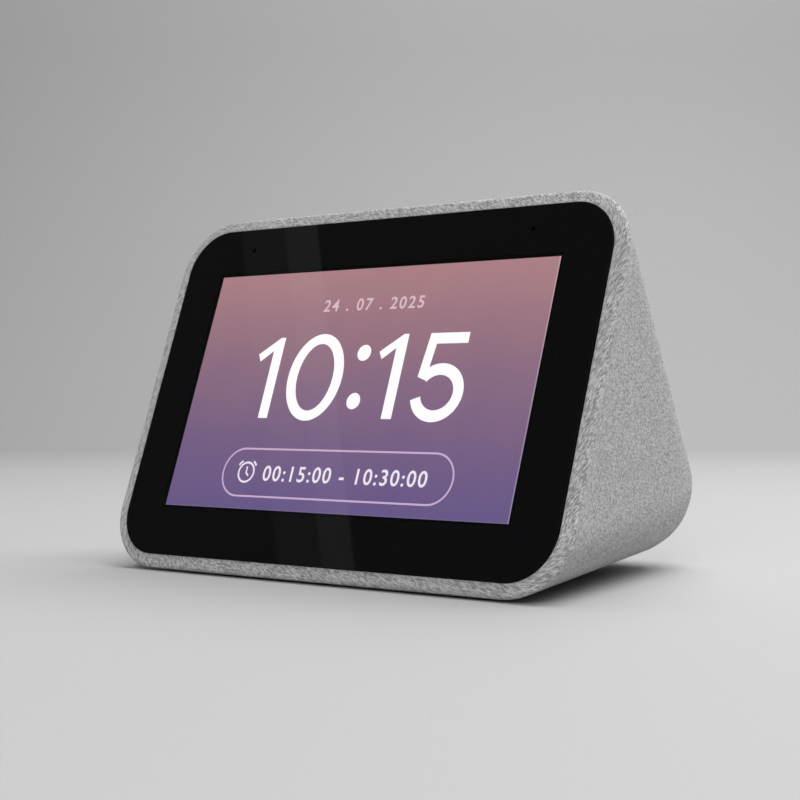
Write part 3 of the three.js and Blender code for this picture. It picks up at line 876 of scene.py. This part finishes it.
def knit_cover():
    count, rows, cap_rows = 300, 58, 26
    rings, pole, rim_rings = knit_rings(count, rows, cap_rows)
    bm = bmesh.new()
    loops = [[bm.verts.new(point) for point in ring] for ring in rings]
    last = bm.verts.new(pole)
    around = bm.loops.layers.float.new("knit_around")
    inward = bm.loops.layers.float.new("knit_inward")
    band = bm.loops.layers.float.new("rim_band")
    step = 2 * (RIM[0] + RIM[1]) / count
    depths = [0.0]
    for outer, inner in zip(rings, rings[1:]):
        depths.append(depths[-1] + (inner[0] - outer[0]).length)
    for row, (outer, inner) in enumerate(zip(loops, loops[1:])):
        for i in range(count):
            j = (i + 1) % count
            quad = bm.faces.new((outer[i], outer[j], inner[j], inner[i]))
            places = ((i, row), (i + 1, row), (i + 1, row + 1), (i, row + 1))
            for corner, (side, depth) in zip(quad.loops, places):
                corner[around] = side * step
                corner[inward] = depths[depth]
                corner[band] = min(max(rim_rings + 1 - depth, 0), 2) / 2
    for i in range(count):
        bm.faces.new((loops[-1][i], loops[-1][(i + 1) % count], last))
    bmesh.ops.recalc_face_normals(bm, faces=bm.faces)
    bm.normal_update()
    if last.normal.y < 0:
        bmesh.ops.reverse_faces(bm, faces=bm.faces)
        bm.normal_update()
    lining = [[bm.verts.new(display @ Vector((p.x, p.y, RIM_FRONT - KNIT_TUCK)))
               for p in even_outline(KNIT_THICK + 0.1 * MM, count)]]
    for loop in loops[rim_rings:]:
        lining.append([bm.verts.new(v.co - v.normal * KNIT_THICK) for v in loop])
    lining_pole = bm.verts.new(last.co - last.normal * KNIT_THICK)
    for outer, inner in zip([loops[0]] + lining, lining):
        for i in range(count):
            j = (i + 1) % count
            bm.faces.new((outer[i], inner[i], inner[j], outer[j]))
    for i in range(count):
        bm.faces.new((lining[-1][i], lining_pole, lining[-1][(i + 1) % count]))
    return new_piece("knitted_cover", bm, melange_knit(), replaces=("fabric_cover",), sharp=50)


# A column of stitches is a wale, a row of them a course.
WALE = 0.33 * MM
COURSE = 0.26 * MM


def melange_knit():
    """Jersey of light and dark grey yarn: fine ribs, flecks of both yarns and a soft pile."""
    material, shader = new_material("grey_melange_knit", (0.4, 0.4, 0.41), 0.9)
    shader.inputs["Sheen Weight"].default_value = 0.25
    shader.inputs["Sheen Roughness"].default_value = 0.5
    shader.inputs["Specular IOR Level"].default_value = 0.2
    n = Nodes(material)
    split = n.add("ShaderNodeSeparateXYZ")
    n.link(n.add("ShaderNodeNewGeometry").outputs["Normal"], split.inputs["Vector"])
    weights = [n.math("POWER", n.math("ABSOLUTE", split.outputs[axis]), 9.0) for axis in "XYZ"]
    total = n.math("ADD", n.math("ADD", weights[0], weights[1]), weights[2])
    wander = n.add("ShaderNodeTexNoise")
    wander.inputs["Scale"].default_value = 420.0
    n.link(n.place, wander.inputs["Vector"])
    shifted = n.add("ShaderNodeVectorMath", operation="MULTIPLY_ADD")
    n.link(wander.outputs["Color"], shifted.inputs[0])
    shifted.inputs[1].default_value = (0.14 * MM,) * 3
    n.link(n.place, shifted.inputs[2])
    parts = n.add("ShaderNodeSeparateXYZ")
    n.link(shifted.outputs["Vector"], parts.inputs["Vector"])
    x, y, z = (parts.outputs[axis] for axis in "XYZ")

    def stitches(across, along):
        """Height and yarn tone of jersey stitches: columns of small Vs, each stitch its own tone."""
        column = n.math("MULTIPLY", across, 1 / WALE)
        side = n.math("ABSOLUTE", n.math("SUBTRACT", n.math("FRACT", column), 0.5))
        row = n.math("MULTIPLY_ADD", side, 0.9, n.math("MULTIPLY", along, 1 / COURSE))
        ridge = n.math("SINE", n.math("MULTIPLY", side, 2 * math.pi))
        leg = n.math("SINE", n.math("MULTIPLY", row, 2 * math.pi))
        height = n.math("MULTIPLY_ADD", ridge, 0.35, n.math("MULTIPLY_ADD", leg, 0.25, 0.25))
        stitch = n.add("ShaderNodeCombineXYZ")
        n.link(n.math("FLOOR", column), stitch.inputs["X"])
        n.link(n.math("FLOOR", row), stitch.inputs["Y"])
        single = n.add("ShaderNodeTexWhiteNoise", noise_dimensions="2D")
        n.link(stitch.outputs["Vector"], single.inputs["Vector"])
        yarn = n.add("ShaderNodeCombineXYZ")
        n.link(n.math("MULTIPLY", across, 1 / (2.2 * WALE)), yarn.inputs["X"])
        n.link(row, yarn.inputs["Y"])
        streak = n.math("MULTIPLY", n.noise(1.0, 1.0, yarn.outputs["Vector"]), 0.4)
        return height, n.math("MULTIPLY_ADD", single.outputs["Value"], 0.6, streak)

    layers = [stitches(across, along) for across, along in ((y, z), (x, z), (x, y))]

    def blended(values):
        mixed = n.math("MULTIPLY", values[0], weights[0])
        mixed = n.math("MULTIPLY_ADD", values[1], weights[1], mixed)
        mixed = n.math("MULTIPLY_ADD", values[2], weights[2], mixed)
        return n.math("DIVIDE", mixed, total)

    around, inward, band = (n.add("ShaderNodeAttribute", attribute_name=name).outputs["Fac"]
                            for name in ("knit_around", "knit_inward", "rim_band"))
    # On the rim the rows run askew where the jersey is pulled round and rolled in.
    slanted = n.math("MULTIPLY", n.math("MULTIPLY_ADD", inward, -1.1, around), 0.68)
    rolled = stitches(inward, slanted)
    beyond = n.math("SUBTRACT", 1.0, band)
    taut = n.math("MULTIPLY", blended([height for height, tone in layers]), beyond)
    relief = n.math("MULTIPLY_ADD", rolled[0], band, taut)
    softer = n.math("MULTIPLY_ADD", blended([tone for height, tone in layers]), 0.92, 0.04)
    crisper = n.math("MULTIPLY_ADD", rolled[1], 1.3, -0.15)
    tone = n.math("MULTIPLY_ADD", crisper, band, n.math("MULTIPLY", softer, beyond))
    fibre = n.noise(3200.0, 3.0, roughness=0.7)
    tone = n.math("MULTIPLY_ADD", fibre, 0.3, n.math("MULTIPLY", tone, 0.74))
    # Painted shade: the colour is lighter on the stitches' raised parts and darker in the hollows between
    # them, following the same relief that makes the bump.
    tone = n.math("MULTIPLY_ADD", relief, 0.25, tone)
    # On the rim band this painted shade of the stitches is made stronger still.
    mean_relief = 0.47
    painted_stitch_shade = n.math("SUBTRACT", relief, mean_relief)
    tone = n.math("MULTIPLY_ADD", painted_stitch_shade, n.math("MULTIPLY", band, 0.5), tone)
    n.colour(tone, [(0.37, (0.17, 0.17, 0.172)), (0.63, (0.46, 0.46, 0.46)), (0.87, (0.71, 0.71, 0.705))])
    n.bump(n.math("MULTIPLY_ADD", fibre, 0.4, relief), 0.12 * MM, 0.8)
    return material


cover = knit_cover()


# ---------------------------------------------------------------------------------------------
# Volume keys: two grey moulded keys, a plus and a minus, that stand a little proud of the knit
# on the crown. Each slides down in its cut-out and springs back.
# ---------------------------------------------------------------------------------------------
KEY_LEAN = math.radians(20)
KEY_SPACING = 12.5 * MM
KEY_ARM = 7.6 * MM
KEY_BAR = 2.5 * MM
KEY_PROUD = 0.45 * MM
CLEAR = 0.35 * MM
crown_middle = Vector((0, CROWN[0][1], CROWN[0][2]))
keys = (upright @ Matrix.Translation(crown_middle) @ Matrix.Rotation(-KEY_LEAN, 4, "X")
        @ Matrix.Translation((0, 0, CROWN[1])))


def key_outline(arms, inset, side):
    """A plus (two bars) or a minus (one bar) with softly rounded corners."""
    a = KEY_ARM / 2 - inset
    b = KEY_BAR / 2 - inset
    r = max(0.55 * MM - inset, 0.05 * MM)
    if arms == 1:
        points = rounded_rectangle(2 * a, 2 * b, r, 4)
    else:
        fillet = max(0.35 * MM + inset, 0.05 * MM)
        quarter = arc((a - r, b - r), r, r, 0, 90, 4)
        quarter += arc((b + fillet, b + fillet), fillet, fillet, 270, 180, 4)
        quarter += arc((b - r, a - r), r, r, 0, 90, 4)
        points = []
        for c, s in ((1, 0), (0, 1), (-1, 0), (0, -1)):
            points += [(x * c - y * s, x * s + y * c) for x, y in quarter]
    return [(x + side * KEY_SPACING, y) for x, y in points]


def crown_drop(y):
    """How far the crown's round top falls away at a distance y along it."""
    return CROWN[1] - math.sqrt(CROWN[1] ** 2 - y ** 2)


def volume_key(name, arms, side):
    top = KEY_PROUD
    profile = [(0, -4.8 * MM), (0, top - 0.35 * MM), (0.03 * MM, top - 0.2 * MM),
               (0.12 * MM, top - 0.07 * MM), (0.3 * MM, top), (0.6 * MM, top + 0.03 * MM)]
    rings = []
    for inset, level in profile:
        ring = key_outline(arms, inset, side)
        rings.append([(x, y, level - (crown_drop(y) if level > 0 else 0)) for x, y in ring])
    bm = ring_solid(rings, keys)
    flange_grows = 1.4 * MM
    flange = rounded_rectangle(KEY_ARM + flange_grows, (KEY_ARM if arms == 2 else KEY_BAR) + flange_grows,
                               0.5 * MM, 4, (side * KEY_SPACING, 0))
    ring_solid(level_rings(flange, -5.6 * MM, -4.7 * MM), keys, bm)
    new_piece(f"volume_{name}_key_cap", bm, grey_plastic, f"volume_{name}",
              (f"volume_{name}_key",))
    opening = level_rings(key_outline(arms, -CLEAR, side), -4 * MM, 2 * MM)
    cut_away(cover, ring_solid(opening, keys), "MANIFOLD")


volume_key("up", 2, 1)
volume_key("down", 1, -1)


# ---------------------------------------------------------------------------------------------
# Port panel: a pill-shaped grey insert low on the back. Its lip follows the curve of the body
# and its recessed floor holds the microphone slider, the USB socket and the power inlet.
# ---------------------------------------------------------------------------------------------
rear = (upright @ Matrix.Translation((0, HEEL[0][1] + HEEL[1], HEEL[0][2]))
        @ Matrix.Rotation(-math.pi / 2, 4, "X"))
PANEL = (52 * MM, 13.6 * MM)
PANEL_BACK = -5.5 * MM
PANEL_FLOOR = -2.6 * MM
MUTE_X = -16 * MM
MUTE_TRAVEL = 2.5 * MM
POWER_X = 15.5 * MM
POWER_R = 3.5 * MM
USB_SIZE = (13.4 * MM, 5.9 * MM)


def pill(inset, width=PANEL[0], height=PANEL[1], steps=16, middle=(0, 0)):
    height = height - 2 * inset
    return rounded_rectangle(width - 2 * inset, height, height / 2 - 0.002 * MM, steps, middle)


def heel_drop(y):
    """How far the heel's round back falls away at a height y from its middle."""
    return HEEL[1] - math.sqrt(HEEL[1] ** 2 - y ** 2)


def port_panel():
    profile = [(0, PANEL_BACK), (0, -0.25 * MM), (0.08 * MM, -0.08 * MM), (0.25 * MM, 0), (1.0 * MM, 0),
               (1.18 * MM, -0.08 * MM), (1.3 * MM, -0.3 * MM), (1.45 * MM, PANEL_FLOOR + 0.5 * MM),
               (1.6 * MM, PANEL_FLOOR + 0.14 * MM), (1.95 * MM, PANEL_FLOOR)]
    rings = []
    for inset, level in profile:
        follows = level > -1 * MM
        rings.append([(x, y, level - (heel_drop(y) if follows else 0)) for x, y in pill(inset)])
    panel = new_piece("port_panel_insert", ring_solid(rings, rear), grey_plastic,
                      replaces=("port_panel",))

    def slider_slot(inset):
        return pill(inset, 8.6 * MM, 3.4 * MM, 8, (MUTE_X, 0))

    def usb_hole(inset):
        grown = 2 * CLEAR - 2 * inset
        return rounded_rectangle(USB_SIZE[0] + grown, USB_SIZE[1] + grown, 0.8 * MM - inset, 6)

    def power_hole(inset):
        across = 2 * (POWER_R + CLEAR)
        return pill(inset, across, across, 12, (POWER_X, 0))

    flare = 0.3 * MM
    steps = [(0, -8 * MM), (0, PANEL_FLOOR - flare), (-flare, PANEL_FLOOR), (-flare, 0)]
    for outline in (slider_slot, usb_hole, power_hole):
        cut_away(panel, ring_solid(inset_rings(outline, steps), rear))
    cut_away(cover, ring_solid(level_rings(pill(-CLEAR), -4 * MM, 2 * MM), rear), "MANIFOLD")


port_panel()


# ---------------------------------------------------------------------------------------------
# Microphone slider: a small white knob with grip ridges, and a printed orange dot on the panel
# at its off end. The knob's stem works the switch behind the panel.
# ---------------------------------------------------------------------------------------------
def mute_knob():
    x = MUTE_X - MUTE_TRAVEL / 2
    top = -1.3 * MM
    ridge_spacing = 0.95 * MM

    def knob(inset):
        return rounded_rectangle(4.4 * MM - 2 * inset, 2.6 * MM - 2 * inset, 0.6 * MM - inset, 5, (x, 0))

    profile = [(0, -6.1 * MM), (0, top - 0.3 * MM), (0.05 * MM, top - 0.14 * MM),
               (0.16 * MM, top - 0.04 * MM), (0.32 * MM, top)]
    bm = ring_solid(inset_rings(knob, profile), rear)
    for step in (-1, 0, 1):
        middle = (x + step * ridge_spacing, 0)

        def ridge(inset):
            return rounded_rectangle(0.42 * MM - 2 * inset, 1.7 * MM - 2 * inset, 0.2 * MM - inset, 4, middle)

        profile = [(0, top - 0.1 * MM), (0, top + 0.1 * MM), (0.1 * MM, top + 0.2 * MM)]
        ring_solid(inset_rings(ridge, profile), rear, bm)
    # The flange behind the panel and the stem that works the switch.
    for width, height, low, high in ((7.4, 4.8, -6.8, -5.95), (1.4, 1.4, -8.8, -6.7)):
        block = rounded_rectangle(width * MM, height * MM, 0.1 * MM, 3, (x, 0))
        ring_solid(level_rings(block, low * MM, high * MM), rear, bm)
    new_piece("mute_slider_knob", bm, white_plastic, "mute_slider", ("mute_knob",))
    dot_middle = (MUTE_X + 6.5 * MM, 0)

    def printed_dot(inset):
        return circle(dot_middle, 0.5 * MM - inset, 24)

    dot = inset_rings(printed_dot, [(0, PANEL_FLOOR + 0.002 * MM), (0.03 * MM, PANEL_FLOOR + 0.04 * MM)])
    orange_ink = moulded("orange_ink", (0.75, 0.16, 0.02), 0.5)
    new_piece("mute_off_mark", ring_solid(dot, rear), orange_ink)


mute_knob()


# ---------------------------------------------------------------------------------------------
# Sockets: a nickel-plated USB sleeve round a black tongue with four gold contacts, and a round
# black power inlet with a steel centre pin.
# ---------------------------------------------------------------------------------------------
SOCKET_FRONT = -3 * MM


def usb_socket():
    width, height = USB_SIZE

    def sleeve(inset):
        return rounded_rectangle(width - 2 * inset, height - 2 * inset, 0.5 * MM - inset * 0.8, 4)

    wall = 0.4 * MM
    profile = [(0, -14 * MM), (0, -3.1 * MM), (0.1 * MM, SOCKET_FRONT), (wall - 0.1 * MM, SOCKET_FRONT),
               (wall, -3.1 * MM), (wall, -13.2 * MM)]
    bm = ring_solid(inset_rings(sleeve, profile), rear)
    new_piece("usb_sleeve", bm, steel, replaces=("usb_port",))

    def tongue(inset):
        middle = (0, -0.6 * MM)
        return rounded_rectangle(10.6 * MM - 2 * inset, 1.6 * MM - 2 * inset, 0.3 * MM - inset, 4, middle)

    profile = [(0, -13.6 * MM), (0, -4.2 * MM), (0.15 * MM, -4 * MM)]
    bm = ring_solid(inset_rings(tongue, profile), rear)
    new_piece("usb_tongue", bm, black_plastic)
    gold, _ = new_material("contact_gold", (0.83, 0.6, 0.22), 0.25, 1.0)
    n = Nodes(gold)
    n.bump(n.noise(8000.0, 2.0), 0.004 * MM)
    bm = bmesh.new()
    for place in (-3.5, -1.0, 1.0, 3.5):
        blade = rounded_rectangle(1.0 * MM, 0.16 * MM, 0.05 * MM, 3, (place * MM, 0.26 * MM))
        ring_solid(level_rings(blade, -12 * MM, -4.6 * MM), rear, bm)
    new_piece("usb_contacts", bm, gold)


def power_inlet():
    def barrel(inset):
        return pill(inset, 2 * POWER_R, 2 * POWER_R, 12, (POWER_X, 0))

    def pin(inset):
        return pill(inset, 1.8 * MM, 1.8 * MM, 6, (POWER_X, 0))

    wall = 0.8 * MM
    profile = [(0, -8 * MM), (0, -3.15 * MM), (0.15 * MM, SOCKET_FRONT), (wall - 0.15 * MM, SOCKET_FRONT),
               (wall, -3.15 * MM), (wall, -12.5 * MM)]
    bm = ring_solid(inset_rings(barrel, profile), rear)
    housing = rounded_rectangle(8.6 * MM, 7.4 * MM, 0.4 * MM, 4, (POWER_X, 0))
    ring_solid(level_rings(housing, -14 * MM, -12.6 * MM), rear, bm)
    new_piece("power_inlet_barrel", bm, black_plastic, replaces=("dc_jack",))
    profile = [(0, -13 * MM), (0, -4.4 * MM), (0.25 * MM, -4.1 * MM), (0.6 * MM, -4 * MM)]
    new_piece("power_inlet_pin", ring_solid(inset_rings(pin, profile), rear), steel)


usb_socket()
power_inlet()


# ---------------------------------------------------------------------------------------------
# Last cut in the knit: the opening round the base plate. The cover is one panel of jersey, cut
# 205 mm by 185 mm less the darts at its corners and drawn a few per cent tight round the shell,
# to which it is bonded.
# ---------------------------------------------------------------------------------------------
base_opening = base_outline(-CLEAR, plate_low, plate_high)
cut_away(cover, ring_solid(level_rings(base_opening, -5 * MM, 6 * MM)), "MANIFOLD")
